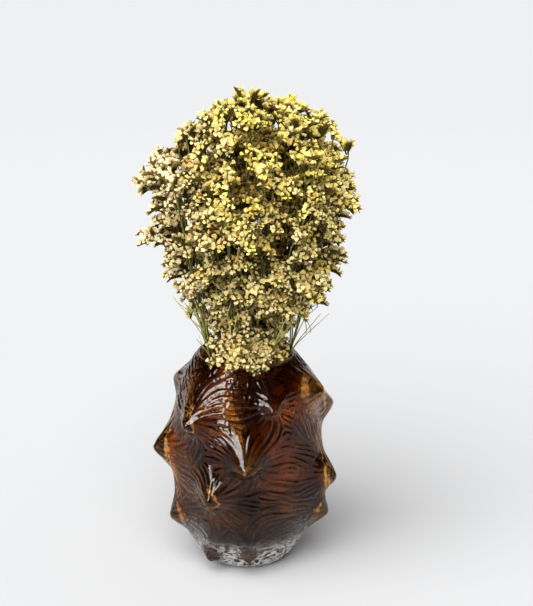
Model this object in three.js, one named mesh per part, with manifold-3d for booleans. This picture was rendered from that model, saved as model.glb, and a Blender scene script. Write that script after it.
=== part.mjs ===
// Statice bouquet in an amber glass vase.
// Millimetres, +Z up. The origin is the centre of the vase's foot, on the surface it stands on.
//
// The vase is one blown shell covered in drooping hollow spikes. The dried stems stand loose in it:
// each is a bare stem from the vase's floor to just above the mouth, and a flower spray that goes on
// from there. The stems fan out as straight lines that twist past each other without touching.

import * as THREE from "three";
import { mergeVertices } from "three/addons/utils/BufferGeometryUtils.js";
import Module from "manifold-3d";

// ---- Vase ----
const vaseHeight = 240;
const footRadius = 42;
const footEdgeRadius = 48;
const bellyRadius = 80;
const bellyHeight = 125;
const mouthRadius = 53;
const lowerFullness = 3;
const upperFullness = 2.6;
const lipWall = 3;
const lipRound = 1.6;
const wallAcross = 4.5;
const floorThickness = 12;
const floorRadius = 38;
const innerCornerHeight = 18;
const vaseSides = 54;
const vaseRowStep = 8.8;
const innerRowStep = 14;

// ---- Spikes: azimuth in degrees from the front towards +X, height of the tip, radius of the tip ----
const spikes = [
  [-115, 197, 90], [65, 213, 93], [103, 172, 100], [-42, 183, 98], [22, 201, 95],
  [-81, 133, 104], [1, 142, 105], [73, 104, 104], [-24, 99, 101],
  [-69, 56, 91], [75, 57, 94], [-33, 20, 70], [2, 26, 71],
  [150, 203, 91], [-160, 184, 97], [145, 138, 103], [-128, 128, 103], [178, 108, 104],
  [130, 76, 100], [-125, 72, 97], [-162, 54, 92], [165, 40, 85], [118, 22, 71], [-120, 22, 70],
];
const spikeDroop = THREE.MathUtils.degToRad(15);
const spikeTipRound = 3;
const spikeReachPerLift = 2.3;
const spikeBlend = 3;
const innerSpikeShare = 0.75;
const roundFootTop = 13;
const roundLipBottom = 218;
const roundEdge = 3;

// ---- Bouquet ----
const stemCount = 24;
const stemRadiusBottom = 1.7;
const stemRadiusTop = 1.35;
const stemSides = 6;
const waistHeight = 82;
const waistRadius = 14;
const leanPerMm = 0.295;
const goldenAngle = Math.PI * (3 - Math.sqrt(5));
const bouquetHeight = 528;
const bouquetRadius = 115;
const edgeDrop = 40;
const leftDrop = 25;
const unevenTop = 4;
const unevenStep = 2.3;
const innerSprayStart = 325;
const outerSprayStart = 251;
const touchGap = 0.3;

// ---- Flower sprays, drawn in the fan's own plane, where the outermost stem is at this radius ----
const fanRadius = 100;
const sideHeads = 4;
const headSides = 6;
const headHalfHeight = 26;
const headRadius = 11;
const headOffset = 6;
const headGap = 0.7;
const headShoulder = 0.85;
const headShoulderHeight = -0.25;
const headFullHeight = 0.35;
const outerPlace = 0.78;
const outerHeadRadius = 13;
const outerHeadSwing = 1.1;
const outerHeadStep = 2.2;
const outerTipShare = 0.85;
const outerOffsetBottom = 23;
const outerOffsetTop = 9;
const branchLength = 40;
const branchRadius = 1.3;
const rodSides = 4;
const mergeWithin = 1e-4;
const trunkRadiusBottom = 2.6;
const trunkRadiusTop = 1.4;

const wasm = await Module();
wasm.setup();

// Radius of the vase's outside between its spikes. Both halves are flattened curves that meet at the belly.
function bodyRadius(z) {
  if (z < bellyHeight) {
    const fullness = 1 - Math.pow(1 - z / bellyHeight, lowerFullness);
    return footEdgeRadius + (bellyRadius - footEdgeRadius) * fullness;
  }
  const rise = (z - bellyHeight) / (vaseHeight - bellyHeight);
  return mouthRadius + (bellyRadius - mouthRadius) * (1 - Math.pow(rise, upperFullness));
}

// How far the spikes lift the wall at an azimuth and height. Each spike has concave flanks and a round
// tip, and where the flanks of two spikes meet they run together as a soft web.
function spikeLift(azimuth, z) {
  let blended = 0;
  for (const [degrees, tipHeight, tipRadius] of spikes) {
    const rise = (tipRadius - bodyRadius(tipHeight)) / Math.cos(spikeDroop);
    const rootHeight = tipHeight + rise * Math.sin(spikeDroop);
    const turn = azimuth - THREE.MathUtils.degToRad(degrees);
    const around = bodyRadius(rootHeight) * Math.atan2(Math.sin(turn), Math.cos(turn));
    const distance = Math.hypot(around, z - rootHeight);
    const reach = spikeReachPerLift * rise;
    const out = Math.max(0, (distance - spikeTipRound) / (reach - spikeTipRound));
    if (out < 1) {
      blended += Math.pow(rise * (1 - out) * (1 - out), spikeBlend);
    }
  }
  return Math.pow(blended, 1 / spikeBlend);
}

// The foot and the lip stay round: spikes fade out before they reach either.
function spikeFade(z) {
  const aboveFoot = THREE.MathUtils.smoothstep(z, roundEdge, roundFootTop);
  const belowLip = 1 - THREE.MathUtils.smoothstep(z, roundLipBottom, vaseHeight - roundEdge);
  return aboveFoot * belowLip;
}

// The profile runs from the centre of the foot, up the outside, over the lip and down to the inner floor.
function vaseProfile() {
  const outside = [
    new THREE.Vector2(0, 0),
    new THREE.Vector2(footRadius, 0),
    new THREE.Vector2(footEdgeRadius - 0.5, 1.2),
  ];
  for (let z = 4; z < vaseHeight - 4; z += vaseRowStep) {
    outside.push(new THREE.Vector2(bodyRadius(z), z));
  }
  const lip = [
    new THREE.Vector2(bodyRadius(vaseHeight - lipRound), vaseHeight - lipRound),
    new THREE.Vector2(mouthRadius, vaseHeight),
    new THREE.Vector2(mouthRadius - lipWall + 1, vaseHeight),
    new THREE.Vector2(mouthRadius - lipWall, vaseHeight - lipRound),
  ];
  const inside = [];
  const innerCornerTop = floorThickness + innerCornerHeight;
  for (let z = vaseHeight - 6; z > innerCornerTop; z -= innerRowStep) {
    inside.push(new THREE.Vector2(bodyRadius(z) - wallAcross, z));
  }
  const cornerRadius = bodyRadius(innerCornerTop) - wallAcross - floorRadius;
  for (const part of [0.45, 0.75, 1]) {
    const angle = part * Math.PI / 2;
    const r = floorRadius + cornerRadius * Math.cos(angle);
    const z = innerCornerTop - (innerCornerTop - floorThickness) * Math.sin(angle);
    inside.push(new THREE.Vector2(r, z));
  }
  inside.push(new THREE.Vector2(0, floorThickness));
  return { points: [...outside, ...lip, ...inside], outsideCount: outside.length + 1 };
}

// The plain turned shell, with its wall then pushed out and down into spikes.
function vaseGeometry() {
  const { points, outsideCount } = vaseProfile();
  const geometry = new THREE.LatheGeometry(points, vaseSides);
  geometry.rotateX(Math.PI / 2);
  const position = geometry.attributes.position;
  for (let i = 0; i < position.count; i += 1) {
    const row = i % points.length;
    const vertex = new THREE.Vector3().fromBufferAttribute(position, i);
    const azimuth = Math.atan2(vertex.x, -vertex.y);
    const share = row < outsideCount ? 1 : innerSpikeShare;
    const lift = share * spikeFade(vertex.z) * spikeLift(azimuth, vertex.z);
    if (vertex.z > floorThickness || row < outsideCount) {
      vertex.x += Math.sin(azimuth) * lift * Math.cos(spikeDroop);
      vertex.y -= Math.cos(azimuth) * lift * Math.cos(spikeDroop);
      vertex.z -= lift * Math.sin(spikeDroop);
      position.setXYZ(i, vertex.x, vertex.y, vertex.z);
    }
  }
  return geometry;
}

// The fan: a place (u, v) on the unit disc, held fixed, traces one straight stem as z rises.
function fanPoint(u, v, z) {
  const lean = leanPerMm * (z - waistHeight);
  return new THREE.Vector2(u * waistRadius - v * lean, u * lean + v * waistRadius);
}

// Places on the disc, evenly spread like the seeds of a sunflower.
function fanPlace(index) {
  const radius = Math.sqrt((index + 0.5) / stemCount);
  return new THREE.Vector2(radius * Math.cos(index * goldenAngle), radius * Math.sin(index * goldenAngle));
}

const fanPlaces = Array.from({ length: stemCount }, (_, index) => fanPlace(index));

// Outer sprays branch from just above the mouth, inner ones higher up, where there is light.
function sprayStart(index) {
  return THREE.MathUtils.lerp(innerSprayStart, outerSprayStart, fanPlaces[index].lengthSq());
}

// The bunch's crown is a dome, lower on its left shoulder.
function sprayTop(index) {
  const place = fanPlaces[index];
  const end = fanPoint(place.x, place.y, bouquetHeight - edgeDrop);
  const edge = Math.pow(end.length() / bouquetRadius, 3);
  const left = Math.max(0, -end.x) / bouquetRadius;
  const uneven = unevenTop * (1 - Math.sin(index * unevenStep));
  return bouquetHeight - edgeDrop * edge - leftDrop * left - uneven;
}

// A bare stem: a tapered six-sided rod whose rings slide along the fan's line, so its ends are level.
function stemGeometry(index) {
  const bottom = floorThickness + touchGap;
  const top = sprayStart(index) - touchGap;
  const geometry = new THREE.CylinderGeometry(stemRadiusTop, stemRadiusBottom, top - bottom, stemSides);
  geometry.rotateX(Math.PI / 2);
  geometry.translate(0, 0, (top + bottom) / 2);
  const position = geometry.attributes.position;
  for (let i = 0; i < position.count; i += 1) {
    const z = position.getZ(i);
    const line = fanPoint(fanPlaces[index].x, fanPlaces[index].y, z);
    position.setXYZ(i, position.getX(i) + line.x, position.getY(i) + line.y, z);
  }
  return geometry;
}

// A closed geometry as a manifold solid.
function solidOf(geometry) {
  const bare = geometry.clone();
  bare.deleteAttribute("normal");
  bare.deleteAttribute("uv");
  const merged = mergeVertices(bare, mergeWithin);
  const vertProperties = new Float32Array(merged.attributes.position.array);
  const corners = Array.from(merged.index.array);
  const triVerts = [];
  for (let i = 0; i < corners.length; i += 3) {
    const [a, b, c] = corners.slice(i, i + 3);
    if (a !== b && b !== c && c !== a) {
      triVerts.push(a, b, c);
    }
  }
  const mesh = new wasm.Mesh({ numProp: 3, vertProperties, triVerts: new Uint32Array(triVerts) });
  return new wasm.Manifold(mesh);
}

function geometryOf(solid) {
  const mesh = solid.getMesh();
  const geometry = new THREE.BufferGeometry();
  const positions = new Float32Array(mesh.numVert * 3);
  for (let i = 0; i < mesh.numVert; i += 1) {
    for (let axis = 0; axis < 3; axis += 1) {
      positions[i * 3 + axis] = mesh.vertProperties[i * mesh.numProp + axis];
    }
  }
  geometry.setAttribute("position", new THREE.BufferAttribute(positions, 3));
  geometry.setIndex(new THREE.BufferAttribute(new Uint32Array(mesh.triVerts), 1));
  return geometry;
}

// A tapered rod between two points of the fan's plane.
function rod(from, to, radiusFrom, radiusTo) {
  const along = to.clone().sub(from);
  const geometry = new THREE.CylinderGeometry(radiusTo, radiusFrom, along.length(), rodSides);
  geometry.translate(0, along.length() / 2, 0);
  const turn = new THREE.Quaternion().setFromUnitVectors(new THREE.Vector3(0, 1, 0), along.normalize());
  geometry.applyQuaternion(turn);
  geometry.translate(from.x, from.y, from.z);
  return geometry;
}

// One flower head: narrow where it joins its branch, full near the top.
function flowerHead(centre, radius, turn) {
  const profile = [
    new THREE.Vector2(0, -headHalfHeight),
    new THREE.Vector2(radius * headShoulder, headHalfHeight * headShoulderHeight),
    new THREE.Vector2(radius, headHalfHeight * headFullHeight),
    new THREE.Vector2(0, headHalfHeight),
  ];
  const geometry = new THREE.LatheGeometry(profile, headSides);
  geometry.rotateX(Math.PI / 2);
  geometry.rotateZ(turn);
  geometry.translate(centre.x, centre.y, centre.z);
  return geometry;
}

// Room around a point before it meets the midline between its own stem and a neighbour.
function roomAt(index, x, y) {
  const own = fanPlaces[index].clone().multiplyScalar(fanRadius);
  const point = new THREE.Vector2(x, y);
  let room = Infinity;
  fanPlaces.forEach((place, other) => {
    if (other !== index) {
      const far = place.clone().multiplyScalar(fanRadius);
      const difference = point.distanceToSquared(far) - point.distanceToSquared(own);
      room = Math.min(room, difference / (2 * own.distanceTo(far)));
    }
  });
  return room;
}

// Where a side head stands from its trunk. Inside the bunch the heads turn round the trunk and touch it.
// On the outside they lean out on branches, further at the bottom, where the bunch is narrow.
function headPlacing(isOuter, outward, i) {
  if (!isOuter) {
    return { angle: outward + i * goldenAngle, offset: headOffset, largest: headRadius };
  }
  const height = i / (sideHeads - 1);
  return {
    angle: outward + outerHeadSwing * Math.sin(i * outerHeadStep),
    offset: THREE.MathUtils.lerp(outerOffsetBottom, outerOffsetTop, height),
    largest: outerHeadRadius,
  };
}

// A spray: a trunk that carries the stem on, flower heads up its sides and one at the tip.
function sprayGeometry(index) {
  const place = fanPlaces[index].clone().multiplyScalar(fanRadius);
  const isOuter = place.length() > outerPlace * fanRadius;
  const outward = Math.atan2(place.y, place.x);
  const bottom = sprayStart(index);
  const foot = new THREE.Vector3(place.x, place.y, bottom);
  const tip = new THREE.Vector3(place.x, place.y, sprayTop(index) - headHalfHeight);
  const tipRadius = headRadius * (isOuter ? outerTipShare : 1);
  let solid = solidOf(rod(foot, tip, trunkRadiusBottom, trunkRadiusTop));
  solid = solid.add(solidOf(flowerHead(tip, tipRadius, index)));
  for (let i = 0; i < sideHeads; i += 1) {
    const { angle, offset, largest } = headPlacing(isOuter, outward, i);
    const x = place.x + offset * Math.cos(angle);
    const y = place.y + offset * Math.sin(angle);
    const z = THREE.MathUtils.lerp(bottom + headHalfHeight, tip.z - headHalfHeight, i / (sideHeads - 1));
    const radius = Math.min(largest, roomAt(index, x, y) - headGap);
    const centre = new THREE.Vector3(x, y, z);
    solid = solid.add(solidOf(flowerHead(centre, radius, angle)));
    if (isOuter) {
      const jointHeight = Math.max(bottom + 2 * branchRadius, z - branchLength);
      const joint = new THREE.Vector3(place.x, place.y, jointHeight);
      solid = solid.add(solidOf(rod(joint, centre, branchRadius, branchRadius)));
    }
  }
  const geometry = geometryOf(solid);
  const position = geometry.attributes.position;
  for (let i = 0; i < position.count; i += 1) {
    const z = position.getZ(i);
    const spot = fanPoint(position.getX(i) / fanRadius, position.getY(i) / fanRadius, z);
    position.setXYZ(i, spot.x, spot.y, z);
  }
  return geometry;
}

// ---- Materials ----
const amberGlass = new THREE.MeshStandardMaterial({ color: 0x5a2a10, roughness: 0.08, metalness: 0 });
const driedStem = new THREE.MeshStandardMaterial({ color: 0x6d6f3a, roughness: 0.85, metalness: 0 });
const driedFlower = new THREE.MeshStandardMaterial({ color: 0xdccb85, roughness: 0.9, metalness: 0 });

// ---- Assembly ----
const group = new THREE.Group();

function addPiece(name, geometry, material) {
  const mesh = new THREE.Mesh(geometry, material.clone());
  mesh.name = name;
  group.add(mesh);
}

addPiece("vase", vaseGeometry(), amberGlass);
for (let index = 0; index < stemCount; index += 1) {
  const number = String(index + 1).padStart(2, "0");
  addPiece(`stem_${number}`, stemGeometry(index), driedStem);
  addPiece(`spray_${number}`, sprayGeometry(index), driedFlower);
}

export default group;
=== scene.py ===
"""Statice bouquet in an amber glass vase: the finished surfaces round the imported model, in metres.

The glass is one blown shell with drooping spikes and flowing ripples. The dried stems are winged rods.
Each spray is a branchwork that ends in flower heads, and each head is a handful of one-sided spikes of
small papery calyces with brown bracts along their backs.
"""

import math

import bmesh
import bpy
import numpy as np
from bpy.props import FloatProperty, FloatVectorProperty, IntProperty, PointerProperty
from mathutils import Matrix, Vector


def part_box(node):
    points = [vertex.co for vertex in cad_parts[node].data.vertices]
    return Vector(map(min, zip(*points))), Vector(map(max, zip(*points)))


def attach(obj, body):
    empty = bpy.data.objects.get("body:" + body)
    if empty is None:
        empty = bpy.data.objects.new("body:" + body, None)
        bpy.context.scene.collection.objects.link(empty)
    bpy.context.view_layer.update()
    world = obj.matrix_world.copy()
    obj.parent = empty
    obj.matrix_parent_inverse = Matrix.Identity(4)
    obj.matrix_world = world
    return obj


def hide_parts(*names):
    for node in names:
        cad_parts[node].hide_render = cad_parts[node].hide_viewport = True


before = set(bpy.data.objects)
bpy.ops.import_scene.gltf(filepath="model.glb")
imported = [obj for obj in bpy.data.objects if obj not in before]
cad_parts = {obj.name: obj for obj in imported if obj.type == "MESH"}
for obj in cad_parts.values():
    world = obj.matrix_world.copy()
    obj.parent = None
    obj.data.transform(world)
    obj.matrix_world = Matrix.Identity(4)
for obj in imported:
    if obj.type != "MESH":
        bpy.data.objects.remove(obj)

bl_info = {
    "name": "Statice Bouquet in Amber Glass",
    "version": (1, 0, 0),
    "blender": (4, 5, 0),
    "location": "View3D > Sidebar > Bouquet",
    "description": "Dried statice in a spiked, rippled amber glass vase",
    "category": "Object",
}

MM = 0.001
GOLDEN_ANGLE = math.pi * (3 - math.sqrt(5))
VASE_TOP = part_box("vase")[1].z
SPRAY_NODES = sorted(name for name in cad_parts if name.startswith("spray_"))
STEM_NODES = sorted(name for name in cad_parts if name.startswith("stem_"))

# The glass spikes: azimuth in degrees from the front towards +X, height and radius of the tip in mm, how far
# the spike hangs in degrees, and how broad its root is beside the usual.
SPIKES = (
    (-115, 197, 90, 15, 1), (65, 213, 93, 20, 1), (103, 172, 100, 15, 1), (-42, 183, 98, 42, 1),
    (22, 202, 90, 44, 0.62), (-81, 133, 104, 15, 1), (1, 142, 105, 50, 1), (73, 104, 104, 18, 1),
    (-24, 99, 101, 42, 0.9), (-69, 56, 91, 15, 1), (75, 57, 94, 15, 1), (-33, 17, 75, 50, 0.8),
    (2, 21, 77, 55, 0.7), (150, 203, 91, 24, 1), (-160, 184, 97, 28, 1), (145, 138, 103, 30, 1),
    (-128, 128, 103, 18, 1), (178, 108, 104, 30, 1), (130, 76, 100, 20, 1), (-125, 72, 97, 20, 1),
    (-162, 54, 92, 24, 1), (165, 40, 85, 20, 1), (118, 22, 71, 10, 1), (-120, 22, 70, 10, 1),
)


# ---- Sizes and colours ----


def length(name, description, default):
    return FloatProperty(name=name, description=description, default=default, unit="LENGTH", precision=5)


def colour(name, description, default):
    return FloatVectorProperty(
        name=name, description=description, default=default, subtype="COLOR", size=3, min=0, max=1
    )


def amount(name, description, default, least=1):
    return IntProperty(name=name, description=description, default=default, min=least)


class VaseProperties(bpy.types.PropertyGroup):
    """Sizes and colours of the glass vase."""

    height: length("Height", "Foot to lip", VASE_TOP)
    foot_radius: length("Foot", "Radius of the flat foot", 0.042)
    foot_edge: length("Foot edge", "Radius where the wall leaves the foot", 0.048)
    belly_radius: length("Belly", "Widest radius between the spikes", 0.080)
    belly_height: length("Belly height", "Height of the widest part", 0.125)
    mouth_radius: length("Mouth", "Outer radius of the lip", 0.053)
    lip_wall: length("Lip", "Thickness of the lip", 0.003)
    wall: length("Wall", "Thickness of the wall, measured across", 0.0045)
    floor: length("Floor", "Thickness of the glass under the hollow", 0.012)
    floor_radius: length("Inner floor", "Radius of the flat inner floor", 0.038)
    ripple_height: length("Ripple height", "How far the ripples stand out", 0.00075)
    ripple_pitch: length("Ripple pitch", "Distance from one ripple to the next", 0.0056)
    ripple_length: length("Ripple length", "How far a ripple runs on", 0.021)
    # The deep amber is also the painted shade that darkens the neck.
    deep: colour("Deep amber", "Glass where it is thick and dark", (0.120, 0.048, 0.021))
    amber: colour("Amber", "Glass where it is lighter", (0.74, 0.33, 0.078))
    tip: colour("Spike tips", "Thin glass at the tips of the spikes", (0.80, 0.45, 0.14))
    smoke: colour("Smoke", "Grey glass above the foot", (0.27, 0.25, 0.26))
    # This clear glass also paints the highlight along the lip.
    foot: colour("Foot glass", "Nearly clear glass round the foot", (0.96, 0.955, 0.945))


class StemProperties(bpy.types.PropertyGroup):
    """Sizes and colours of the stems and branches."""

    core: length("Core", "Radius of a stem between its wings", 0.00095)
    wing: length("Wings", "Radius of a stem out to the edges of its wings", 0.00155)
    waver: length("Waver", "How far a stem strays from straight", 0.0006)
    twig: FloatProperty(
        name="Twigs", description="Thickness of a side branch beside a stem", default=0.50, subtype="FACTOR"
    )
    # The dark green is painted shade in the stems' furrows.
    dark: colour("Dark green", "Stems in their furrows", (0.100, 0.098, 0.028))
    light: colour("Light green", "Wings and young stems", (0.48, 0.45, 0.16))
    fresh: colour("Fresh green", "Young shoots by the mouth", (0.56, 0.57, 0.22))
    bract: colour("Bracts", "Dry scales behind the flowers", (0.190, 0.125, 0.032))


class SprayProperties(bpy.types.PropertyGroup):
    """Sizes, numbers and colours of the flowers."""

    heads: amount("Heads", "Flower heads on the bunch's surface", 150)
    deep_heads: amount("Deep heads", "Flower heads further inside", 150, least=0)
    rim_heads: amount("Rim heads", "Flower heads that hang over the lip", 8, least=0)
    spikes: amount("Spikes", "Flower spikes in each head", 7)
    floret: length("Calyx", "Width of one papery calyx", 0.0064)
    spike: length("Spike", "Length of the flowering part of a spike", 0.021)
    peduncle: length("Stalk", "Length of the bare stalk below a spike", 0.009)
    lemon: colour("Lemon", "Calyces at the crown", (0.90, 0.78, 0.19))
    cream: colour("Cream", "Calyces lower down", (0.90, 0.755, 0.35))
    peach: colour("Peach", "Calyces on the left", (0.94, 0.79, 0.545))
    throat: colour("Throat", "Inside of a calyx", (0.52, 0.34, 0.06))


class StageProperties(bpy.types.PropertyGroup):
    """The camera, the lights and the floor."""

    camera_place: FloatVectorProperty(
        name="Camera", description="Where the camera stands", default=(0.0224, -1.480, 0.79335), subtype="XYZ"
    )
    camera_tilt: FloatProperty(
        name="Tilt", description="How far the camera looks down", default=math.radians(18.6), subtype="ANGLE"
    )
    camera_lens: FloatProperty(name="Lens", description="Focal length in mm on a 36 mm frame", default=85.9)
    surround: FloatProperty(name="Surround", description="Brightness of the room", default=0.47)
    key: FloatProperty(name="Key", description="Strength of the broad light overhead", default=4.1)
    glint: FloatProperty(
        name="Glint", description="Power of the softbox that shines in the glass", default=12.5, unit="POWER"
    )
    back: FloatProperty(name="Back", description="Power of the card behind", default=9, unit="POWER")
    paper: colour("Floor", "The paper underneath", (0.482, 0.485, 0.492))


# ---- Finishes ----


def arithmetic(operation, reflected=False):
    """A method that adds a Math node for an operation on a number socket and another number."""

    def method(self, other):
        first, second = (other, self) if reflected else (self, other)
        sockets = {0: first, 1: second}
        return self.finish.add("ShaderNodeMath", {"operation": operation}, sockets).number()

    return method


class Number:
    """A number socket on which arithmetic adds Math nodes."""

    def __init__(self, finish, socket):
        self.finish = finish
        self.socket = socket

    __add__ = arithmetic("ADD")
    __radd__ = arithmetic("ADD", reflected=True)
    __sub__ = arithmetic("SUBTRACT")
    __rsub__ = arithmetic("SUBTRACT", reflected=True)
    __mul__ = arithmetic("MULTIPLY")
    __rmul__ = arithmetic("MULTIPLY", reflected=True)

    def clamp(self):
        sockets = {0: self, 1: 0.0}
        return self.finish.add("ShaderNodeMath", {"operation": "ADD", "use_clamp": True}, sockets).number()


class Added:
    """A node that has just been added, with short ways to its outputs."""

    def __init__(self, finish, node):
        self.finish = finish
        self.node = node

    def out(self, name=0):
        return self.node.outputs[name]

    def number(self, name=0):
        return Number(self.finish, self.node.outputs[name])


class Finish:
    """A material being built: its Principled shader, and one method that adds any other node."""

    def __init__(self, name, **constants):
        self.material = bpy.data.materials.new(name)
        self.material.use_nodes = True
        self.tree = self.material.node_tree
        self.shader = self.tree.nodes["Principled BSDF"]
        for socket, value in constants.items():
            self.feed(self.shader.inputs[socket.replace("_", " ")], value)

    def feed(self, socket, value):
        if isinstance(value, Number):
            value = value.socket
        if isinstance(value, bpy.types.NodeSocket):
            self.tree.links.new(value, socket)
        elif hasattr(value, "__len__") and len(value) == 3 and len(socket.default_value) == 4:
            socket.default_value = (*value, 1.0)
        else:
            socket.default_value = value

    def add(self, kind, settings=None, sockets=None):
        """Adds a node of a kind, makes its settings, then gives its sockets their values or links."""
        node = self.tree.nodes.new(kind)
        for name, value in (settings or {}).items():
            setattr(node, name, value)
        for name, value in (sockets or {}).items():
            self.feed(node.inputs[name], value)
        return Added(self, node)

    def mix(self, factor, first, second):
        """A blend of two colours."""
        sockets = {0: factor, 6: first, 7: second}
        return self.add("ShaderNodeMix", {"data_type": "RGBA"}, sockets).out(2)

    def place(self):
        """The point on the piece, in its own frame."""
        return self.add("ShaderNodeTexCoord").out("Object")

    def noise(self, where, scale, detail=2.0, stretch=(1, 1, 1)):
        """Soft noise, from about 0.3 to 0.7."""
        mapped = self.add("ShaderNodeMapping", None, {"Vector": where, "Scale": stretch}).out()
        sockets = {"Vector": mapped, "Scale": scale, "Detail": detail}
        return self.add("ShaderNodeTexNoise", None, sockets).number("Fac")

    def attribute(self, name):
        return self.add("ShaderNodeAttribute", {"attribute_name": name}).number("Fac")

    def cover(self, factor, sockets):
        """Lays a second, plain shader over the first by a factor."""
        plain = self.add("ShaderNodeBsdfPrincipled", None, sockets)
        both = self.add("ShaderNodeMixShader", None, {0: factor, 1: self.shader.outputs[0], 2: plain.out()})
        self.feed(self.tree.nodes["Material Output"].inputs["Surface"], both.out())

    def bump(self, height, distance):
        sockets = {"Height": height, "Distance": distance}
        self.feed(self.shader.inputs["Normal"], self.add("ShaderNodeBump", None, sockets).out())

    def paint(self, value):
        """Gives the shader its colour, and returns the finished material."""
        self.feed(self.shader.inputs["Base Color"], value)
        return self.material


# Heights on the glass: where the painted shade up the neck starts, where the smoke and the clear foot end,
# how far up the foot's knobs are dark, and where the lip turns clear as a painted highlight along its edge.
NECK_SHADE_FROM = 0.180
SMOKE_TO = 0.0788
CLEAR_TO = 0.0460
KNOBS_TO = 0.046
LIP_HIGHLIGHT_FROM = 0.2378


def amber_glass(sizes):
    """Dark amber glass: darkest in the creases, bright at the spikes' tips, smoky then clear at the foot,
    with painted shade up the neck and a painted highlight at the lip.
    """
    finish = Finish("amber_glass", Roughness=0.06, IOR=1.40, Transmission_Weight=1.0)
    where = finish.place()
    axes = finish.add("ShaderNodeSeparateXYZ", None, {0: where})
    height = axes.number("Z")
    lift = finish.attribute("lift")
    cloud = finish.noise(where, 20, 2.0, (1, 1, 1.4)) - 0.5
    mottle = finish.noise(where, 260, 3.0, (0.6, 0.6, 1.2))
    # Painted shade: the glass darkens up the neck, nearly to black on its back half, so the mouth looks dark
    # inside.
    neck = ((height - NECK_SHADE_FROM) * 22).clamp()
    behind = ((axes.number("Y") + 0.005) * 60).clamp()
    light = 0.23 + finish.attribute("ridge") * 0.56 + cloud * 3.0 + (mottle - 0.5) * 0.6 - neck * 0.5
    glass = finish.mix(light.clamp(), sizes.deep, sizes.amber)
    glass = finish.mix(neck * behind * 0.85, glass, (0.02, 0.008, 0.005))
    thin = (lift * 2.2 - 1.20 + (mottle - 0.5)).clamp()
    glass = finish.mix(thin, glass, sizes.tip)
    spike = (lift - 0.25).clamp()
    smoke = ((SMOKE_TO - height - cloud * 0.050) * 26 - spike * 4).clamp()
    glass = finish.mix(smoke, glass, sizes.smoke)
    clear = ((CLEAR_TO - height - (mottle - 0.5) * 0.055) * 62 - spike * 9).clamp()
    specks = finish.mix(((mottle - 0.44) * 9).clamp(), (0.36, 0.34, 0.325), sizes.foot)
    glass = finish.mix(clear, glass, specks)
    knob = ((lift - 0.14) * 6).clamp() * ((KNOBS_TO - height) * 60).clamp()
    glass = finish.mix(knob, glass, (0.13, 0.065, 0.04))
    # Painted highlight: the lip's glass turns clear so that its edge shows as a light line.
    glass = finish.mix(((height - LIP_HIGHLIGHT_FROM) * 900).clamp(), glass, sizes.foot)
    finish.bump(mottle * (1 + clear * 3), 0.00025)
    seeds = ((mottle - 0.45) * 10).clamp() * clear * (1 - knob) * 0.66
    finish.cover(seeds, {"Base Color": (0.72, 0.71, 0.70), "Roughness": 0.4})
    return finish.paint(glass)


def dried_stem(sizes):
    """Dry olive green stem, furrowed along its length and darker in its furrows as painted shade, with
    fresher green shoots.
    """
    finish = Finish("dried_stem", Roughness=0.72, Specular_IOR_Level=0.15)
    where = finish.place()
    furrow = finish.noise(where, 900, 3.0, (1, 1, 0.05))
    blotch = finish.noise(where, 60)
    # Painted shade: the green darkens where the furrow bump is low; the blotches are the stem's own colour.
    pale = ((furrow - 0.38) * 2.6 + (blotch - 0.5) * 1.6).clamp()
    green = finish.mix(pale, sizes.dark, sizes.light)
    finish.bump(furrow, 0.0003)
    return finish.paint(finish.mix(finish.attribute("fresh") * 0.95, green, sizes.fresh))


def dried_bract(sizes):
    """Dry brown scales with an olive cast, browner on some spikes."""
    finish = Finish("dried_bract", Roughness=0.78, Specular_IOR_Level=0.1)
    grain = finish.noise(finish.place(), 700)
    olive = finish.mix((grain - 0.35) * 2.2, (0.11, 0.11, 0.03), sizes.bract)
    finish.bump(grain, 0.0002)
    return finish.paint(finish.mix(finish.attribute("tint") * 0.55, olive, (0.19, 0.12, 0.035)))


def dried_calyx(sizes):
    """Papery calyx: lemon at the crown, cream lower down, peach on the left, ochre in the throat.

    Spikes differ by their tint and calyces by their tone. Those deep in the bunch are browned as painted
    shade, and those at the bottom duller.
    """
    finish = Finish(
        "dried_calyx",
        Roughness=0.68,
        Specular_IOR_Level=0.15,
        Subsurface_Weight=0.45,
        Subsurface_Scale=0.002,
        Subsurface_Radius=(1.0, 0.8, 0.4),
    )
    where = finish.place()
    axes = finish.add("ShaderNodeSeparateXYZ", None, {0: where})
    height = axes.number("Z")
    patch = finish.noise(where, 26) - 0.5
    left = ((-0.022 - axes.number("X")) * 15 + patch * 1.6).clamp()
    high = ((height - 0.345) * 6.0 + patch * 3.2).clamp()
    low = ((0.335 - height) * 8).clamp()
    tint = finish.attribute("tint")
    tone = finish.attribute("tone")
    paper = finish.mix(high * (1 - left * 0.75), sizes.cream, sizes.lemon)
    for share, shade in (
        (left * 0.85, sizes.peach),
        ((tint - 0.55) * 0.9, (0.90, 0.77, 0.50)),
        ((0.30 - tint) * 2.2, (0.74, 0.50, 0.15)),
        ((0.24 - tone) * 1.3, (0.62, 0.42, 0.10)),
        ((tone - 0.60) * 0.9, (0.95, 0.87, 0.58)),
        (low * 0.26, (0.56, 0.37, 0.20)),
        # Painted shade: calyces deep inside the bunch turn dark brown.
        (finish.attribute("aged") * 0.80, (0.29, 0.165, 0.042)),
        (finish.attribute("throat") * 0.75, sizes.throat),
    ):
        paper = finish.mix(share, paper, shade)
    return finish.paint(paper)


def studio_paper(sizes):
    """Matt white paper with a faint tooth."""
    finish = Finish("studio_paper", Roughness=0.9, Specular_IOR_Level=0.2)
    tooth = finish.noise(finish.place(), 900, 3.0)
    whiter = tuple(value + 0.01 for value in sizes.paper)
    finish.bump(tooth, 0.00005)
    return finish.paint(finish.mix(tooth, sizes.paper, whiter))


# ---- Modelling helpers ----


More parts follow.
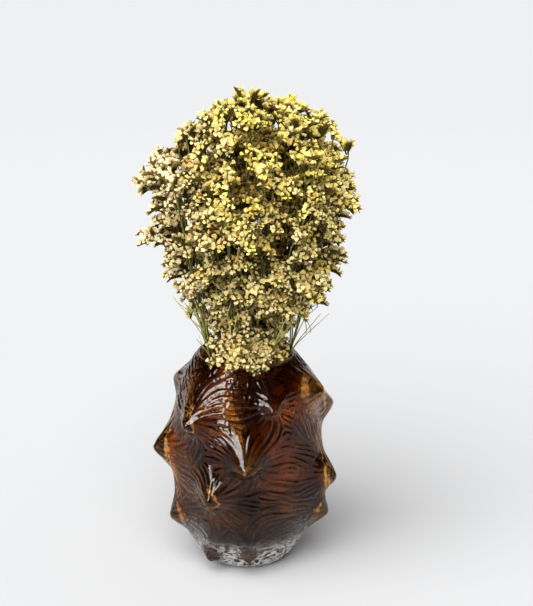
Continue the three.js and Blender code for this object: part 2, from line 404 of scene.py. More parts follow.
def deselect_all():
    if bpy.context.mode != "OBJECT":
        bpy.ops.object.mode_set(mode="OBJECT")
    bpy.ops.object.select_all(action="DESELECT")


def give_name(obj, name):
    """Names an object and its mesh."""
    obj.name = name
    obj.data.name = name


def take(obj):
    """Makes an object the active one and the only one selected."""
    deselect_all()
    obj.select_set(True)
    bpy.context.view_layer.objects.active = obj


def edit(obj):
    take(obj)
    bpy.ops.object.mode_set(mode="EDIT")
    bpy.ops.mesh.select_mode(type="VERT")


def close_mesh(merge_within=0.0):
    """In edit mode, merges doubled vertices, turns every face outwards and leaves the mode."""
    bpy.ops.mesh.select_all(action="SELECT")
    if merge_within:
        bpy.ops.mesh.remove_doubles(threshold=merge_within)
    bpy.ops.mesh.normals_make_consistent(inside=False)
    bpy.ops.object.mode_set(mode="OBJECT")


def select_vertices(obj, test):
    """In edit mode, selects the vertices whose place passes the test."""
    mesh = bmesh.from_edit_mesh(obj.data)
    for vertex in mesh.verts:
        vertex.select_set(False)
    for vertex in mesh.verts:
        if test(vertex.co):
            vertex.select_set(True)
    mesh.select_flush(True)
    bmesh.update_edit_mesh(obj.data)


def join(objects, name):
    """Joins objects into the first and gives the result a name."""
    take(objects[0])
    for obj in objects:
        obj.select_set(True)
    bpy.ops.object.join()
    joined = bpy.context.object
    give_name(joined, name)
    return joined


def apply_place(obj):
    """Moves the object's place into its mesh."""
    take(obj)
    bpy.ops.object.transform_apply(location=True, rotation=True, scale=True)


def copy_at(template, matrix, **attributes):
    """A copy of a modelled piece with its own mesh, at a place, with values for its point attributes."""
    copied = template.copy()
    copied.data = template.data.copy()
    for name, value in attributes.items():
        set_attribute(copied, name, value)
    copied.matrix_world = matrix
    bpy.context.collection.objects.link(copied)
    return copied


def set_attribute(obj, name, values):
    """Gives every vertex its value for a material to read, or all of them the same one."""
    layer = obj.data.attributes.get(name) or obj.data.attributes.new(name, "FLOAT", "POINT")
    layer.data.foreach_set("value", np.full(len(obj.data.vertices), values, np.float32))


def vertex_places(obj):
    places = np.empty(len(obj.data.vertices) * 3)
    obj.data.vertices.foreach_get("co", places)
    return places.reshape(-1, 3)


def aim(point, forward, up, scale=1.0):
    """A matrix that puts local +X along forward and local +Z as near up as it goes."""
    x = forward.normalized()
    y = up.cross(x).normalized()
    z = x.cross(y)
    turn = Matrix((x, y, z)).transposed().to_4x4()
    return Matrix.Translation(point) @ turn @ Matrix.Scale(scale, 4)


def finish_piece(obj, material, nodes, slot):
    """Gives a piece its finish, its body and the nodes it stands for. The slot is not used."""
    obj.data.materials.clear()
    obj.data.materials.append(material)
    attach(obj, "root")
    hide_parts(*nodes)


# ---- The vase ----

VASE_SIDES = 104
OUTER_ROWS = 40
INNER_ROWS = 7
LOWER_FULLNESS = 3.0
UPPER_FULLNESS = 2.6
SPIKE_REACH = 2.7
INNER_SPIKE_SHARE = 0.75

# A spike is pulled in two moves: a sharp one for its point and a smooth one for its broad root.
SHARP_PULL = 0.60
SMOOTH_PULL = 0.40
SMOOTH_REACH = 0.033
OVERPULL = 1.08

# A point this far out from the turned wall counts as a spike's tip, where the ripples are lower.
FULL_LIFT = 0.022
TIP_SMOOTHING = 0.60

# The ripples, in mm: the patches in which they lean together, how far round it a spike draws them, how far
# above its tip they meet, and how much the finished sheet is softened.
RIPPLE_PATCH = 45
SPIKE_DRAW = 30
DRAW_ABOVE = 5
RIPPLE_BLUR = 2.6

# How much their pitch varies, how far they lean in radians, and how strongly they keep level.
PITCH_SPREAD = 0.42
RIPPLE_LEAN = 0.45
LEVEL_PULL = 0.22


def body_radius(sizes, z):
    """Radius of the outside between the spikes, for one height or an array of heights."""
    z = np.asarray(z, float)
    low = 1 - np.abs(1 - z / sizes.belly_height) ** LOWER_FULLNESS
    rise = np.clip((z - sizes.belly_height) / (sizes.height - sizes.belly_height), 0, 1)
    high = 1 - rise**UPPER_FULLNESS
    below = sizes.foot_edge + (sizes.belly_radius - sizes.foot_edge) * low
    above = sizes.mouth_radius + (sizes.belly_radius - sizes.mouth_radius) * high
    return np.where(z < sizes.belly_height, below, above)


def vase_profile(sizes):
    """The wall's outline as (radius, height), from the foot's centre over the lip to the inner floor."""
    outline = [(0, 0), (sizes.foot_radius * 0.6, 0), (sizes.foot_radius, 0)]
    outline.append((sizes.foot_edge - 0.0005, 0.0012))
    for z in np.linspace(0.004, sizes.height - 0.006, OUTER_ROWS):
        outline.append((float(body_radius(sizes, z)), z))
    lip = sizes.mouth_radius
    top = sizes.height
    outline += [(lip + 0.0012, top - 0.0018), (lip - 0.0002, top - 0.0001), (lip - sizes.lip_wall / 2, top)]
    outline += [(lip - sizes.lip_wall + 0.0003, top - 0.0004), (lip - sizes.lip_wall, top - 0.0022)]
    corner_top = sizes.floor + 0.018
    for z in np.linspace(top - 0.010, corner_top, INNER_ROWS):
        outline.append((float(body_radius(sizes, z)) - sizes.wall, z))
    corner = float(body_radius(sizes, corner_top)) - sizes.wall - sizes.floor_radius
    for share in (0.45, 0.75, 1.0):
        angle = share * math.pi / 2
        height = corner_top - (corner_top - sizes.floor) * math.sin(angle)
        outline.append((sizes.floor_radius + corner * math.cos(angle), height))
    outline += [(sizes.floor_radius * 0.5, sizes.floor), (0, sizes.floor)]
    return outline


def turn_vase(sizes):
    """Draws the outline by extruding one vertex from point to point, then spins it into a closed shell."""
    outline = vase_profile(sizes)
    deselect_all()
    bpy.ops.mesh.primitive_plane_add(size=MM, location=(0, 0, 0))
    vase = bpy.context.object
    edit(vase)
    bpy.ops.mesh.select_all(action="SELECT")
    bpy.ops.mesh.merge(type="CENTER")
    for (r0, z0), (r1, z1) in zip(outline, outline[1:]):
        bpy.ops.mesh.extrude_vertices_move(TRANSFORM_OT_translate={"value": (r1 - r0, 0, z1 - z0)})
    bpy.ops.mesh.select_all(action="SELECT")
    bpy.ops.mesh.spin(steps=VASE_SIDES, angle=math.tau, center=(0, 0, 0), axis=(0, 0, 1))
    close_mesh(merge_within=0.00005)
    give_name(vase, "glass_vase")
    return vase


def spike_tips(sizes):
    """Each spike's tip, the direction it points, its length that way and how wide a patch it draws out."""
    for azimuth, height, radius, hang, breadth in SPIKES:
        angle, droop = math.radians(azimuth), math.radians(hang)
        outward = Vector((math.sin(angle), -math.cos(angle), 0))
        tip = outward * radius * MM + Vector((0, 0, height * MM))
        rise = radius * MM - float(body_radius(sizes, height * MM))
        direction = outward * math.cos(droop) - Vector((0, 0, math.sin(droop)))
        yield tip, direction, rise / math.cos(droop), rise * SPIKE_REACH * breadth


def pull_spikes(vase, sizes):
    """Pulls each spike out of the wall by a sharp proportional move, outside first and then inside."""
    plain = vertex_places(vase)
    radii = np.hypot(plain[:, 0], plain[:, 1])
    outside = radii > body_radius(sizes, plain[:, 2]) - sizes.wall * 0.5
    for tip, direction, rise, reach in spike_tips(sizes):
        root = tip - direction * rise
        for is_outside, share in ((True, 1.0), (False, INNER_SPIKE_SHARE)):
            places = vertex_places(vase)
            start = root if is_outside else root - direction * sizes.wall
            far = np.where(outside == is_outside, 0, 1)
            nearest = int(np.argmin(np.linalg.norm(places - np.array(start), axis=1) + far))
            if not is_outside and places[nearest, 2] < sizes.floor + 0.006:
                continue
            goal = start + direction * rise * share * OVERPULL
            edit(vase)
            picked = Vector(places[nearest])
            select_vertices(vase, lambda place: (place - picked).length < 1e-5)
            smooth_reach = min(SMOOTH_REACH, reach * 0.6)
            moves = ((SHARP_PULL, "SHARP", reach), (SMOOTH_PULL, "SMOOTH", smooth_reach))
            for part, falloff, size in moves:
                bpy.ops.transform.translate(
                    value=(goal - picked) * part,
                    use_proportional_edit=True,
                    proportional_edit_falloff=falloff,
                    proportional_size=size,
                    use_proportional_connected=True,
                )
            bpy.ops.object.mode_set(mode="OBJECT")
    keep_round(vase, plain, sizes)
    return outside


def smooth_step(values, low, high):
    share = np.clip((values - low) / (high - low), 0, 1)
    return share * share * (3 - 2 * share)


def keep_round(vase, plain, sizes):
    """Blends the wall back to its turned shape towards the foot and the lip, which stay round."""
    heights = plain[:, 2]
    above_foot = smooth_step(heights, 0.003, 0.013)
    below_lip = 1 - smooth_step(heights, sizes.height - 0.022, sizes.height - 0.003)
    share = (above_foot * below_lip)[:, None]
    places = plain + (vertex_places(vase) - plain) * share
    vase.data.vertices.foreach_set("co", places.ravel())
    vase.data.update()


def filtered(sheet, kept):
    """A sheet of which a share of each wave is kept."""
    return np.real(np.fft.ifft2(np.fft.fft2(sheet) * kept))


def ripple_flow(shape, waves, rng):
    """The direction in which the glass flowed: nearly level on the body, and towards each spike near it."""
    rows, columns = shape
    up, around = np.mgrid[0:rows, 0:columns].astype(float)
    slow = filtered(rng.standard_normal(shape), np.exp(-((waves * RIPPLE_PATCH) ** 2)))
    lean = slow / slow.std() * RIPPLE_LEAN
    level = np.cos(2 * lean) * LEVEL_PULL
    across = np.sin(2 * lean) * LEVEL_PULL
    for azimuth, height, *_ in SPIKES:
        side = (around - (azimuth % 360) / 360 * columns + columns / 2) % columns - columns / 2
        rise = up - height - DRAW_ABOVE
        angle = 2 * np.arctan2(rise, side)
        weight = np.exp(-((np.hypot(side, rise) / SPIKE_DRAW) ** 2))
        level += weight * np.cos(angle)
        across += weight * np.sin(angle)
    return np.arctan2(across, level) / 2


def ripple_sheet(sizes, rng):
    """A height sheet round the vase, with a point for each mm, whose ripples run along the flow.

    Random waves of one pitch are smeared both ways along the direction in which the glass flowed.
    """
    columns = int(math.tau * sizes.belly_radius / MM)
    rows = int(sizes.height / MM)
    waves = np.hypot(np.fft.fftfreq(rows)[:, None], np.fft.fftfreq(columns)[None, :])
    pitch = waves * sizes.ripple_pitch / MM
    grain = filtered(rng.standard_normal((rows, columns)), np.exp(-(((pitch - 1) / PITCH_SPREAD) ** 2)))
    flow = ripple_flow((rows, columns), waves, rng)
    up, around = np.mgrid[0:rows, 0:columns].astype(float)
    smeared = grain.copy()
    for sign in (1, -1):
        x, y, heading = around.copy(), up.copy(), flow.copy()
        reach = int(sizes.ripple_length / MM)
        for step in range(reach):
            x = (x + sign * np.cos(heading)) % columns
            y = np.clip(y + sign * np.sin(heading), 0, rows - 1)
            at = (y.astype(int), x.astype(int) % columns)
            turned = flow[at]
            heading = np.where(np.cos(turned - heading) < 0, turned + np.pi, turned)
            smeared += grain[at] * (0.5 + 0.5 * math.cos(math.pi * step / reach))
    smeared = filtered(smeared, np.exp(-((waves * RIPPLE_BLUR) ** 2)))
    return smeared / smeared.std()


def read_sheet(sheet, azimuth, height):
    """Reads the sheet between its points, at azimuths in radians and heights in metres."""
    rows, columns = sheet.shape
    x = (azimuth % math.tau) / math.tau * columns
    y = np.clip(height / MM, 0, rows - 1.001)
    x0, y0 = x.astype(int), y.astype(int)
    fx, fy = x - x0, y - y0
    left, right = x0 % columns, (x0 + 1) % columns
    low = sheet[y0, left] * (1 - fx) + sheet[y0, right] * fx
    high = sheet[y0 + 1, left] * (1 - fx) + sheet[y0 + 1, right] * fx
    return low * (1 - fy) + high * fy


def ripple_vase(vase, sizes):
    """Raises the ripples on the outside and notes how far each point is lifted towards a spike's tip."""
    rng = np.random.default_rng(7)
    sheet = np.tanh(ripple_sheet(sizes, rng) * 1.5 + 0.6)
    places = vertex_places(vase)
    normals = np.empty(places.size)
    vase.data.vertex_normals.foreach_get("vector", normals)
    normals = normals.reshape(-1, 3)
    outside = np.array([sum(g.weight for g in v.groups) for v in vase.data.vertices])
    azimuth = np.arctan2(places[:, 0], -places[:, 1])
    radii = np.hypot(places[:, 0], places[:, 1])
    lift = np.clip((radii - body_radius(sizes, places[:, 2])) / FULL_LIFT, 0, 1) * outside
    ends = smooth_step(places[:, 2], 0.002, 0.012) * (1 - smooth_step(places[:, 2], 0.234, 0.239))
    height = read_sheet(sheet, azimuth, places[:, 2]) * sizes.ripple_height * outside * ends
    places += normals * (height * (1 - TIP_SMOOTHING * lift))[:, None]
    vase.data.vertices.foreach_set("co", places.ravel())
    vase.data.update()
    set_attribute(vase, "lift", lift)
    set_attribute(vase, "ridge", height / sizes.ripple_height)


class MakeVase(bpy.types.Operator):
    """Blow the amber glass vase: turned wall, pulled spikes, flowing ripples"""

    bl_idname = "bouquet.make_vase"
    bl_label = "Vase"
    bl_options = {"REGISTER", "UNDO"}

    def execute(self, context):
        sizes = context.scene.bouquet_vase
        vase = turn_vase(sizes)
        outside = pull_spikes(vase, sizes)
        group = vase.vertex_groups.new(name="outside")
        group.add([int(index) for index in np.flatnonzero(outside)], 1.0, "REPLACE")
        take(vase)
        modifier = vase.modifiers.new("fine", "SUBSURF")
        modifier.levels = modifier.render_levels = 2
        bpy.ops.object.modifier_apply(modifier=modifier.name)
        ripple_vase(vase, sizes)
        vase.vertex_groups.clear()
        bpy.ops.object.shade_smooth()
        finish_piece(vase, amber_glass(sizes), ["vase"], "amber_glass")
        return {"FINISHED"}


# ---- Stems ----


def stem_ends(node):
    """The centres of a stem's lowest and highest rings."""
    places = vertex_places(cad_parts[node])
    low = places[places[:, 2] < places[:, 2].min() + 0.0001].mean(0)
    high = places[places[:, 2] > places[:, 2].max() - 0.0001].mean(0)
    return Vector(low), Vector(high)


def stem_section(sizes):
    """The outline that a stem is drawn with: a thin core with three narrow wings."""
    curve = bpy.data.curves.new("stem_section", "CURVE")
    curve.dimensions = "2D"
    outline = curve.splines.new("POLY")
    corners = 9
    outline.points.add(corners - 1)
    for index in range(corners):
        angle = index / corners * math.tau
        radius = sizes.wing if index % 3 == 0 else sizes.core
        outline.points[index].co = (radius * math.cos(angle), radius * math.sin(angle), 0, 1)
    outline.use_cyclic_u = True
    section = bpy.data.objects.new("stem_section", curve)
    bpy.context.collection.objects.link(section)
    return section


def drawn_rods(name, section, paths, steps):
    """Draws paths as one mesh of smooth rods. A path is a list of (point, handle, radius)."""
    curve = bpy.data.curves.new(name, "CURVE")
    curve.dimensions = "3D"
    curve.bevel_mode = "OBJECT"
    curve.bevel_object = section
    curve.use_fill_caps = True
    curve.resolution_u = steps
    for path in paths:
        spline = curve.splines.new("BEZIER")
        spline.bezier_points.add(len(path) - 1)
        for knot, (point, handle, radius) in zip(spline.bezier_points, path):
            knot.co = point
            knot.handle_left = point - handle
            knot.handle_right = point + handle
            knot.radius = radius
    rods = bpy.data.objects.new(name, curve)
    bpy.context.collection.objects.link(rods)
    take(rods)
    bpy.ops.object.convert(target="MESH")
    rods = bpy.context.object
    edit(rods)
    close_mesh(merge_within=1e-6)
    bpy.ops.object.shade_smooth_by_angle(angle=math.radians(50))
    give_name(rods, name)
    return rods


class MakeStems(bpy.types.Operator):
    """Draw the bare winged stems that stand in the vase"""

    bl_idname = "bouquet.make_stems"
    bl_label = "Stems"
    bl_options = {"REGISTER", "UNDO"}

    def execute(self, context):
        sizes = context.scene.bouquet_stems
        rng = np.random.default_rng(3)
        section = stem_section(sizes)
        green = dried_stem(sizes)
        knots = 5
        for node in STEM_NODES:
            low, high = stem_ends(node)
            handle = (high - low) / (knots - 1) / 3
            path = []
            for index in range(knots):
                share = index / (knots - 1)
                stray = Vector(rng.uniform(-1, 1, 3)) * sizes.waver * math.sin(share * math.pi)
                stray.z = 0
                path.append((low.lerp(high, share) + stray, handle, 1.05 - 0.12 * share))
            stem = drawn_rods("dried_" + node, section, [path], 4)
            finish_piece(stem, green, [node], "dried_stem")
        bpy.data.objects.remove(section)
        return {"FINISHED"}


# ---- Flowers ----

PLEATS = 5
SPIKE_KINDS = 8

# Sprays that start below this height have green shoots at their foot.
SHOOTS_BELOW = 0.285

# A branch leaves its trunk this far below its head, and lower for a head further out.
BRANCH_DROP = 0.045

# How often a head's spikes stand tall, above what height they do so more often, and by how much a metre. Then
# the widest a round fan and a tall one open, in degrees.
TALL_SHARE = 0.30
TALL_FROM = 0.42
TALL_RISE = 12
ROUND_FAN = 66
TALL_FAN = 40

# Calyces start to get painted shade, a brown darkening, this far inside the bunch, and get all of it this
# much further in.
INNER_SHADE_FROM = 0.021
INNER_SHADE_OVER = 0.044


def model_floret(sizes):
    """One papery calyx: a pleated funnel with a scalloped rim and a hollow throat, its foot at the origin."""
    rim = sizes.floret / 2
    tall = rim * 2.0
    deselect_all()
    bpy.ops.mesh.primitive_cone_add(
        vertices=PLEATS * 2,
        radius1=0,
        radius2=rim,
        depth=tall,
        end_fill_type="NGON",
        location=(0, 0, tall / 2),
    )
    floret = bpy.context.object
    apply_place(floret)
    edit(floret)
    select_vertices(floret, lambda place: place.z > tall * 0.9)
    bpy.ops.mesh.extrude_region_move(TRANSFORM_OT_translate={"value": (0, 0, -tall * 0.38)})
    bpy.ops.transform.resize(value=(0.42, 0.42, 1), center_override=(0, 0, tall * 0.62))
    bpy.ops.mesh.extrude_region_move(TRANSFORM_OT_translate={"value": (0, 0, -tall * 0.16)})
    bpy.ops.mesh.merge(type="CENTER")

    def in_pleat(place):
        turn = math.atan2(place.y, place.x) / math.tau * PLEATS * 2
        return place.z > tall * 0.9 and round(turn) % 2 == 0

    select_vertices(floret, in_pleat)
    bpy.ops.transform.resize(value=(0.48, 0.48, 1), center_override=(0, 0, tall))
    bpy.ops.transform.translate(value=(0, 0, -tall * 0.30))
    close_mesh()
    bpy.ops.object.shade_smooth_by_angle(angle=math.radians(60))
    places = vertex_places(floret)
    depth = 1 - np.hypot(places[:, 0], places[:, 1]) / rim
    set_attribute(floret, "throat", np.clip(depth * 1.5 - 0.35, 0, 1))
    for name in ("tint", "tone", "aged"):
        set_attribute(floret, name, 0)
    return floret


def model_bract(sizes):
    """One dry scale: a flattened four-sided point, its foot at the origin."""
    wide, tall = sizes.floret * 0.38, sizes.floret * 1.12
    deselect_all()
    bpy.ops.mesh.primitive_cone_add(vertices=4, radius1=wide, depth=tall, location=(0, 0, tall / 2))
    bract = bpy.context.object
    apply_place(bract)
    edit(bract)
    bpy.ops.mesh.select_all(action="SELECT")
    bpy.ops.transform.resize(value=(1, 0.55, 1), center_override=(0, 0, 0))
    select_vertices(bract, lambda place: place.z > tall * 0.9)
    bpy.ops.transform.translate(value=(0, -wide * 0.5, 0))
    bpy.ops.object.mode_set(mode="OBJECT")
    set_attribute(bract, "tint", 0)
    return bract


def model_spike(kind, floret, bract, section, sizes, rng):
    """One flower spike along +X: a stalk, then two close rows of calyces on top and scales behind.

    The flowering part bends down towards its tip, and the rows stand on its outer side.
    """
    bend = math.radians(rng.uniform(20, 80))
    long = sizes.spike * rng.uniform(0.70, 1.15)
    pitch = sizes.floret * 0.48
    count = int(long / pitch)
    upright = Matrix.Rotation(math.pi / 2, 4, "Y")
    calyces, backs, knots = [], [], []

    def along(distance):
        angle = bend * distance / long
        reach = long / bend
        place = Vector((sizes.peduncle + reach * math.sin(angle), 0, -reach * (1 - math.cos(angle))))
        forward = Vector((math.cos(angle), 0, -math.sin(angle)))
        up = Vector((math.sin(angle), 0, math.cos(angle)))
        return place, forward, up

    for index in range(count):
        place, forward, up = along((index + 0.5) * pitch)
        size = 1.0 - 0.38 * (index / count) ** 2
        for side in (-1, 1):
            splay = math.radians((28 if (index + side) % 2 else 62) + rng.uniform(-12, 12))
            sideways = Vector((0, side, 0))
            facing = up * math.cos(splay) + sideways * math.sin(splay) + forward * rng.uniform(-0.10, 0.50)
            turn = Matrix.Rotation(rng.uniform(0, math.tau), 4, "Z")
            shift = forward * (side * pitch * 0.25) + facing * sizes.floret * 0.10
            own_size = size * rng.uniform(0.82, 1.15)
            matrix = aim(place + shift, facing, forward, own_size) @ upright @ turn
            calyces.append(copy_at(floret, matrix, tone=rng.uniform(0, 1)))
            lay = forward * 0.75 + sideways * 0.55 - up * 0.10
            matrix = aim(place - up * sizes.floret * 0.05, lay, up, size) @ upright
            backs.append(copy_at(bract, matrix))
    for distance in np.linspace(0, long, 5):
        place, forward, _ = along(distance)
        knots.append((place, forward * long / 12, 0.75 - 0.25 * distance / long))
    stalk = (Vector((0, 0, 0)), Vector((sizes.peduncle / 3, 0, 0)), 0.50)
    rachis = drawn_rods(f"rachis_{kind}", section, [[stalk, *knots]], 2)
    set_attribute(rachis, "tint", 0)
    flowers = join(calyces, f"spike_flowers_{kind}")
    back = join([rachis, *backs], f"spike_back_{kind}")
    for part in (flowers, back):
        apply_place(part)
    return flowers, back


# The bunch's depth from front to back beside its width.
BUNCH_DEPTH = 0.95

# How far inside the outline a spike's end has to lie; below zero it may stray outside.
STRAY = -0.012

# The bunch seen from the front, in mm: height, left edge and right edge of the flowers.
OUTLINE = (
    (246, -20, 40), (262, -36, 50), (290, -52, 76), (310, -66, 92), (330, -84, 110), (350, -95, 113),
    (377, -109, 114), (403, -115, 121), (429, -117, 121), (448, -112, 113), (466, -100, 106),
    (480, -70, 100), (493, -52, 92), (506, -42, 83), (517, -30, 60), (523, -13, 34), (527, 6, 20),
)

# The two layers of heads: how far inside the outline each starts, and how deep it is.
SURFACE_LAYER = (0.018, 0.022)
DEEP_LAYER = (0.056, 0.036)

# No head stands lower than this. Heads turn upwards by the first share and stray by the second.
LOWEST_HEAD = 0.252
HEAD_RISE = 1.15
HEAD_STRAY = 0.40

# The heads over the lip: where their row starts, its length, its radius and its heights.
RIM_START = -0.018
RIM_ROW = 0.040
RIM_RADIUS = 0.050
RIM_HEIGHTS = (0.245, 0.257)


def bunch_shape():
    """The outline as heights, the middle at each height, and half the width there."""
    heights, left, right = (np.array(OUTLINE) * MM).T
    return heights, (left + right) / 2, (right - left) / 2


def layer_sites(count, layer, rng):
    """Heads spread evenly over a layer of the bunch, as (place, direction)."""
    heights, middle, half = bunch_shape()
    inset, spread = layer
    steps = np.hypot(np.diff(heights), np.diff(half))
    area = np.concatenate([[0], np.cumsum(steps * (half[1:] + half[:-1]) / 2)])
    rows = np.arange(len(heights))
    for index in range(count):
        row = np.interp((index + 0.5) / count * area[-1], area, rows)
        low = int(min(row, len(rows) - 2))
        slope_out = half[low + 1] - half[low]
        slope_up = heights[low + 1] - heights[low]
        azimuth = index * GOLDEN_ANGLE + count
        outward = Vector((math.sin(azimuth), -math.cos(azimuth), 0))
        normal = (outward * slope_up - Vector((0, 0, slope_out))).normalized()
        radius = np.interp(row, rows, half)
        centre = Vector((np.interp(row, rows, middle), 0, np.interp(row, rows, heights)))
        depth = inset + rng.uniform(0, spread)
        place = centre + outward * max(0.0, radius - depth * max(0.3, normal.xy.length))
        place.z = max(place.z - depth * max(0.0, normal.z), LOWEST_HEAD)
        place += Vector(rng.uniform(-1, 1, 3)) * 0.004
        place.y *= BUNCH_DEPTH
        tip = normal + Vector((0, 0, HEAD_RISE)) + Vector(rng.uniform(-HEAD_STRAY, HEAD_STRAY, 3))
        yield place, tip.normalized()


def rim_sites(count, rng):
    """Heads in a row over the front of the lip, as (place, direction)."""
    for index in range(count):
        x = RIM_ROW * (index + 0.5) / count + RIM_START
        y = 0.004 - math.sqrt(RIM_RADIUS**2 - x**2) + rng.uniform(0, 0.008)
        yield Vector((x, y, rng.uniform(*RIM_HEIGHTS))), Vector((x * 8, -0.75, 0.6)).normalized()


def head_sites(sizes, rng):
    """Every flower head of the bunch, as (place, direction)."""
    surface = list(layer_sites(sizes.heads, SURFACE_LAYER, rng))
    deep = list(layer_sites(sizes.deep_heads, DEEP_LAYER, rng))
    return [*surface, *deep, *rim_sites(sizes.rim_heads, rng)]


def depth_inside(place):
    """How far a point lies inside the bunch's outline, from its side or its crown, whichever is nearer."""
    heights, middle, half = bunch_shape()
    reach = math.hypot(place.x - np.interp(place.z, heights, middle), place.y)
    widest = int(np.argmax(half))
    crown = np.interp(-reach, -half[widest:], heights[widest:])
    return min(np.interp(place.z, heights, half) - reach, crown - place.z)


def trunk_line(number):
    """A spray's trunk: where its stem ends, its direction for each metre of height, and its top."""
    low, high = stem_ends(STEM_NODES[number])
    lean = (high - low) / (high.z - low.z)
    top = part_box(SPRAY_NODES[number])[1].z - 0.030
    return high, lean, top


def trunk_distance(trunk, place):
    """How far from a point a trunk passes, seen from above, where a branch to the point would start."""
    foot, lean, top = trunk
    height = min(max(place.z - BRANCH_DROP, foot.z), top)
    return (foot + lean * (height - foot.z) - place).xy.length


def share_out(sites, trunks):
    """Gives every trunk a head at its tip, and each other head to the trunk that passes nearest to it."""
    shares = []
    for foot, lean, top in trunks:
        shares.append([(foot + lean * (top - foot.z), lean.normalized())])
    for place, direction in sites:
        distances = [trunk_distance(trunk, place) for trunk in trunks]
        shares[distances.index(min(distances))].append((place, direction))
    return shares


def branch_paths(trunk, sites, stems):
    """A spray's trunk and its branch to each head, as paths to draw."""
    foot, lean, top = trunk
    rise = lean * (top - foot.z)
    paths = [[(foot, rise / 9, 0.95), (foot + rise / 2, rise / 6, 0.82), (foot + rise, rise / 9, 0.55)]]
    for place, direction in sites:
        across = (place - (foot + lean * (place.z - foot.z))).length
        start = np.clip(place.z - BRANCH_DROP - across * 2.4, foot.z - 0.022, top - 0.012)
        fork = foot + lean * (start - foot.z)
        reach = (place - fork).length
        if reach > 0.012:
            leaving = (fork, lean.normalized() * reach * 0.36, stems.twig * 1.2)
            paths.append([leaving, (place, direction * min(reach * 0.3, 0.025), stems.twig)])
    return paths


def fan_spikes(place, direction, sizes, rng):
    """Where a head's spikes go: mostly a round fan, sometimes a few tall spikes close together."""
    is_tall = rng.random() < TALL_SHARE + TALL_RISE * max(0.0, place.z - TALL_FROM)
    count = sizes.spikes + int(rng.integers(-1, 2)) - (2 if is_tall else 0)
    size = rng.uniform(0.80, 1.12) * (1.12 if is_tall else 1)
    widest = TALL_FAN if is_tall else ROUND_FAN
    side = direction.orthogonal().normalized()
    phase = rng.uniform(0, math.tau)
    for index in range(count):
        azimuth = phase + index / max(1, count - 1) * math.tau
        spread = math.radians(rng.uniform(16, widest)) if index < count - 1 else math.radians(10)
        around = (Matrix.Rotation(azimuth, 3, direction) @ side).normalized()
        forward = direction * math.cos(spread) + around * math.sin(spread)
        up = direction * math.sin(spread) - around * math.cos(spread) + Vector((0, 0, 0.45))
        up = Matrix.Rotation(rng.uniform(-0.9, 0.9), 3, forward) @ up
        yield aim(place, forward, up, size * rng.uniform(0.85, 1.12))


def flower_heads(sites, kinds, sizes, rng):
    """The spikes of a spray's heads: calyces and brown backs. Spikes that stray far are left out."""
    calyces, backs = [], []
    for place, direction in sites:
        for matrix in fan_spikes(place, direction, sizes, rng):
            flowers, back = kinds[int(rng.integers(SPIKE_KINDS))]
            tint = rng.uniform(0, 1)
            end = matrix @ Vector((sizes.peduncle + sizes.spike, 0, 0))
            if end.z > SHOOTS_BELOW and depth_inside(end) < STRAY:
                continue
            depth = depth_inside(matrix @ Vector((sizes.peduncle + sizes.spike / 2, 0, 0)))
            # Painted shade: the deeper inside the bunch a spike lies, the browner its calyces.
            aged = min(1.0, max(0.0, (depth - INNER_SHADE_FROM) / INNER_SHADE_OVER))
            calyces.append(copy_at(flowers, matrix, tint=tint, aged=aged))
            backs.append(copy_at(back, matrix, tint=tint))
    return calyces, backs


def green_shoots(foot, lean, stems, rng):
    """Thin green shoots without flowers that fork off by the mouth of the vase."""
    outward = Vector((foot.x, foot.y, 0)).normalized()
    for _ in range(3):
        tall = rng.uniform(0.030, 0.062)
        start = foot - lean * rng.uniform(0.004, 0.020)
        stray = Vector((rng.uniform(-1, 1), rng.uniform(-1, 1), 0)) * 0.012
        end = start + lean * tall + outward * rng.uniform(0.004, 0.018) + stray
        middle = start.lerp(end, 0.55)
        yield [(start, lean * tall / 4, stems.twig), (end, (end - start) / 4, stems.twig * 0.45)]
        fork = middle + lean * tall * 0.38 - stray * 1.4
        forked = (fork, (fork - middle) / 4, stems.twig * 0.4)
        yield [(middle, lean * tall / 9, stems.twig * 0.8), forked]


class MakeSprays(bpy.types.Operator):
    """Model one calyx, scale and set of flower spikes, then grow every spray's branches and heads"""

    bl_idname = "bouquet.make_sprays"
    bl_label = "Flower sprays"
    bl_options = {"REGISTER", "UNDO"}

    def execute(self, context):
        sizes = context.scene.bouquet_sprays
        stems = context.scene.bouquet_stems
        rng = np.random.default_rng(11)
        section = stem_section(stems)
        floret = model_floret(sizes)
        bract = model_bract(sizes)
        kinds = [model_spike(kind, floret, bract, section, sizes, rng) for kind in range(SPIKE_KINDS)]
        trunks = [trunk_line(number) for number in range(len(SPRAY_NODES))]
        shares = share_out(head_sites(sizes, rng), trunks)
        paper, green, brown = dried_calyx(sizes), dried_stem(stems), dried_bract(stems)
        for node, trunk, sites in zip(SPRAY_NODES, trunks, shares):
            calyces, backs = flower_heads(sites, kinds, sizes, rng)
            branches = drawn_rods("branches_" + node, section, branch_paths(trunk, sites, stems), 7)
            set_attribute(branches, "fresh", 0)
            foot, lean, _ = trunk
            if foot.z < SHOOTS_BELOW:
                shoots = drawn_rods("shoots", section, green_shoots(foot, lean, stems, rng), 6)
                set_attribute(shoots, "fresh", 1)
                branches = join([branches, shoots], "branches_" + node)
            for piece, material, slot in (
                (join(calyces, "flowers_" + node), paper, "dried_flower"),
                (branches, green, "dried_stem"),
                (join(backs, "bracts_" + node), brown, "dried_flower"),
            ):
                apply_place(piece)
                finish_piece(piece, material, [node], slot)
        for template in (floret, bract, section, *[part for kind in kinds for part in kind]):
            bpy.data.objects.remove(template)
        return {"FINISHED"}


# ---- Stage ----


MIDDLE = Vector((0, 0, 0.25))


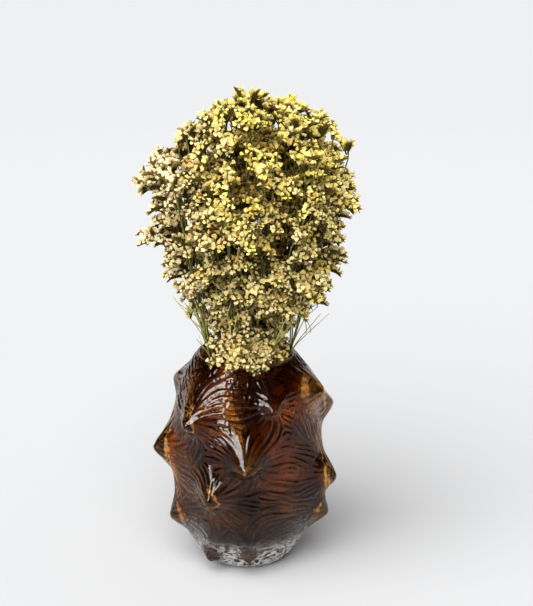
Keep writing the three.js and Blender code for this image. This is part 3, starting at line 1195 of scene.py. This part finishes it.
def lamp(kind, name, place, strength):
    """A light of a kind that looks at the middle of the vase and its flowers."""
    deselect_all()
    bpy.ops.object.light_add(type=kind, location=place)
    light = bpy.context.object
    light.name = name
    light.rotation_euler = (MIDDLE - Vector(place)).to_track_quat("-Z", "Y").to_euler()
    light.data.energy = strength
    return light


def card(name, place, strength, wide, tall):
    """A lit card that shows in the glass and lights nothing matt."""
    light = lamp("AREA", name, place, strength)
    light.data.shape = "RECTANGLE"
    light.data.size, light.data.size_y = wide, tall
    light.visible_diffuse = False


class MakeStage(bpy.types.Operator):
    """Lay the white floor, hang the soft lights and set the camera"""

    bl_idname = "bouquet.make_stage"
    bl_label = "Stage"
    bl_options = {"REGISTER", "UNDO"}

    def execute(self, context):
        sizes = context.scene.bouquet_stage
        deselect_all()
        bpy.ops.mesh.primitive_plane_add(size=40, location=(0, 0, 0))
        floor = bpy.context.object
        floor.name = "floor"
        floor.data.materials.append(studio_paper(sizes))
        key = lamp("SUN", "overhead_light", (-0.48, -0.85, 1.70), sizes.key)
        key.data.angle = math.radians(64)
        key.visible_glossy = False
        card("glass_softbox", (-0.62, -0.85, 0.66), sizes.glint, 0.42, 0.75)
        card("back_card", (0, 2.3, 1.05), sizes.back, 3.0, 1.0)
        world = bpy.data.worlds.new("white_studio")
        world.use_nodes = True
        background = world.node_tree.nodes["Background"]
        background.inputs["Color"].default_value = (1.0, 1.0, 1.0, 1.0)
        background.inputs["Strength"].default_value = sizes.surround
        world.cycles_visibility.glossy = False
        context.scene.world = world
        deselect_all()
        looking = (math.pi / 2 - sizes.camera_tilt, 0, 0)
        bpy.ops.object.camera_add(location=sizes.camera_place, rotation=looking)
        camera = bpy.context.object
        camera.data.sensor_width = 36
        camera.data.lens = sizes.camera_lens
        camera.data.clip_start = 0.01
        context.scene.camera = camera
        context.scene.view_settings.view_transform = "Standard"
        context.scene.view_settings.look = "Medium High Contrast"
        return {"FINISHED"}


# ---- Add-on ----


class BouquetPanel(bpy.types.Panel):
    """Lists the sizes and colours, and the operators that build the bouquet."""

    bl_idname = "VIEW3D_PT_bouquet"
    bl_label = "Statice Bouquet"
    bl_space_type = "VIEW_3D"
    bl_region_type = "UI"
    bl_category = "Bouquet"

    def draw(self, context):
        layout = self.layout
        for operator, group in STEPS:
            box = layout.box()
            box.operator(operator.bl_idname)
            sizes = getattr(context.scene, group)
            for name in sizes.bl_rna.properties.keys():
                if name not in {"rna_type", "name"}:
                    box.prop(sizes, name)


STEPS = (
    (MakeStage, "bouquet_stage"),
    (MakeVase, "bouquet_vase"),
    (MakeStems, "bouquet_stems"),
    (MakeSprays, "bouquet_sprays"),
)
GROUPS = {
    "bouquet_stage": StageProperties,
    "bouquet_vase": VaseProperties,
    "bouquet_stems": StemProperties,
    "bouquet_sprays": SprayProperties,
}
CLASSES = (*GROUPS.values(), *[operator for operator, _ in STEPS], BouquetPanel)


def register():
    for item in CLASSES:
        bpy.utils.register_class(item)
    for name, group in GROUPS.items():
        setattr(bpy.types.Scene, name, PointerProperty(type=group))


def unregister():
    for name in GROUPS:
        delattr(bpy.types.Scene, name)
    for item in reversed(CLASSES):
        bpy.utils.unregister_class(item)


def main():
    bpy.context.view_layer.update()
    register()
    bpy.ops.bouquet.make_stage()
    bpy.ops.bouquet.make_vase()
    bpy.ops.bouquet.make_stems()
    bpy.ops.bouquet.make_sprays()


if __name__ == "__main__":
    main()
